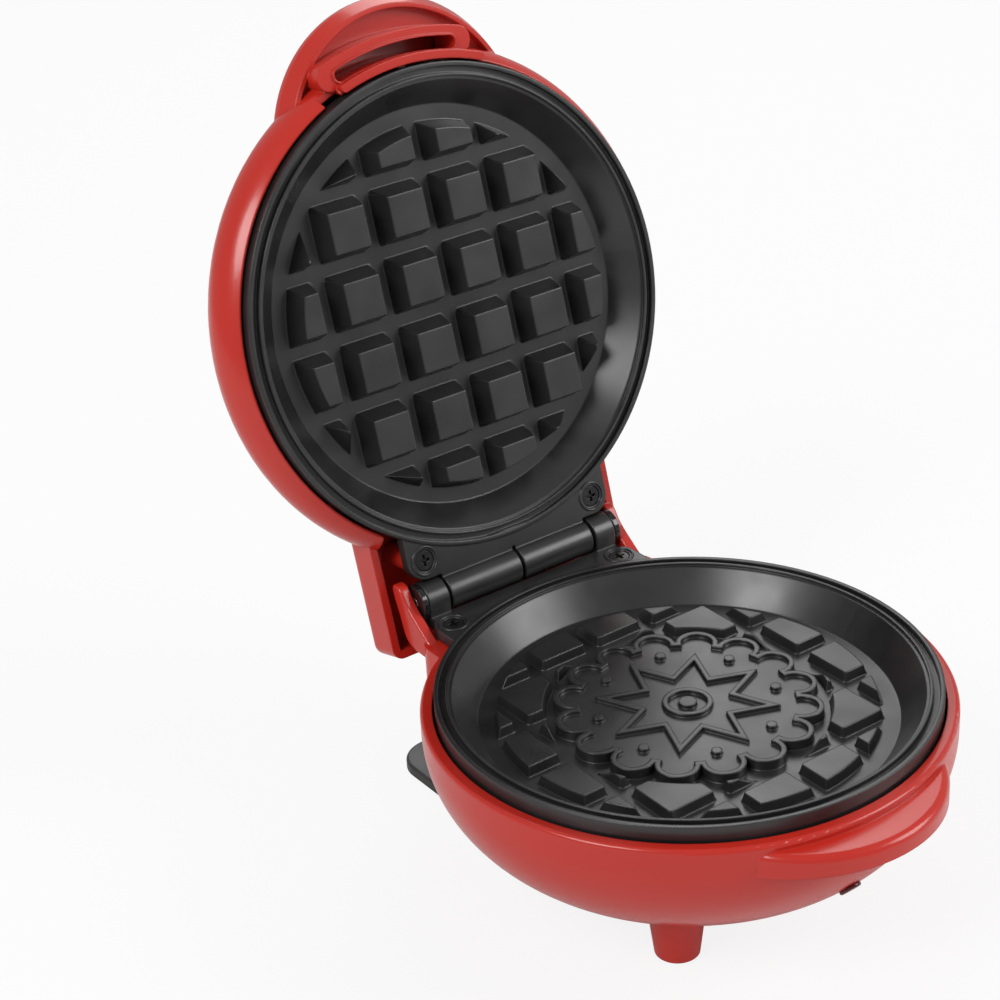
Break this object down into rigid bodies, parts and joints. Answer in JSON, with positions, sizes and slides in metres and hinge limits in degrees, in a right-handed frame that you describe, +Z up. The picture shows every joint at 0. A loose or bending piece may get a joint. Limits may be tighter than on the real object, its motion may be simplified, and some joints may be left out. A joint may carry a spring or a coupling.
{
  "type": "mini waffle maker",
  "caption": "Small round countertop waffle maker with a hinged lid, studded baking plates, front lift tabs, tapered feet and a rear stand plate.",
  "frame": {"origin": "on the vertical axis of the round body, in the plane that it stands on", "axes": "+Z up, +Y towards the hinge, +X to the right seen from the front tab"},
  "size_m": [0.129, 0.1929, 0.193],
  "materials": {
    "red_shell": "glossy red moulded shell",
    "coated_plate": "satin black non-stick coating on cast aluminium",
    "steel": "zinc-plated steel",
    "black_steel": "blackened steel",
    "black_plastic": "black moulded plastic",
    "heater_sheath": "oxidised heater sheath",
    "ceramic": "white electrical porcelain",
    "aluminium_sheet": "bright rolled aluminium",
    "red_lens": "deep red translucent lens",
    "clear_glass": "small glass neon lamp",
    "black_rubber": "black rubber"
  },
  "bodies": {
    "base": {"base_casing": "red_shell", "lower_plate": "coated_plate", "hinge_pin": "steel", "hinge_bushes": "black_plastic", "lower_hinge_screws": "black_steel", "lower_heater": "heater_sheath", "lower_heater_terminals": "ceramic", "lower_reflector": "aluminium_sheet", "lower_reflector_screws": "steel", "thermostat": "steel", "thermal_fuse": "steel", "fuse_clip": "aluminium_sheet", "lamp_lens": "red_lens", "lamp_tube": "clear_glass", "terminal_block": "ceramic", "cord_bush": "black_rubber", "foot_pads": "black_rubber", "rear_stand": "black_plastic", "stand_screws": "black_steel"},
    "lid": {"lid_casing": "red_shell", "upper_plate": "coated_plate", "upper_hinge_screws": "black_steel", "upper_heater": "heater_sheath", "upper_heater_terminals": "ceramic", "upper_reflector": "aluminium_sheet", "upper_reflector_screws": "steel"}
  },
  "joints": [
    {"name": "lid_hinge", "type": "hinge", "parent": "base", "child": "lid", "pos_m": [0, 0.0686, 0.0545], "axis": [1, 0, 0], "range_deg": [0, 105]}
  ]
}
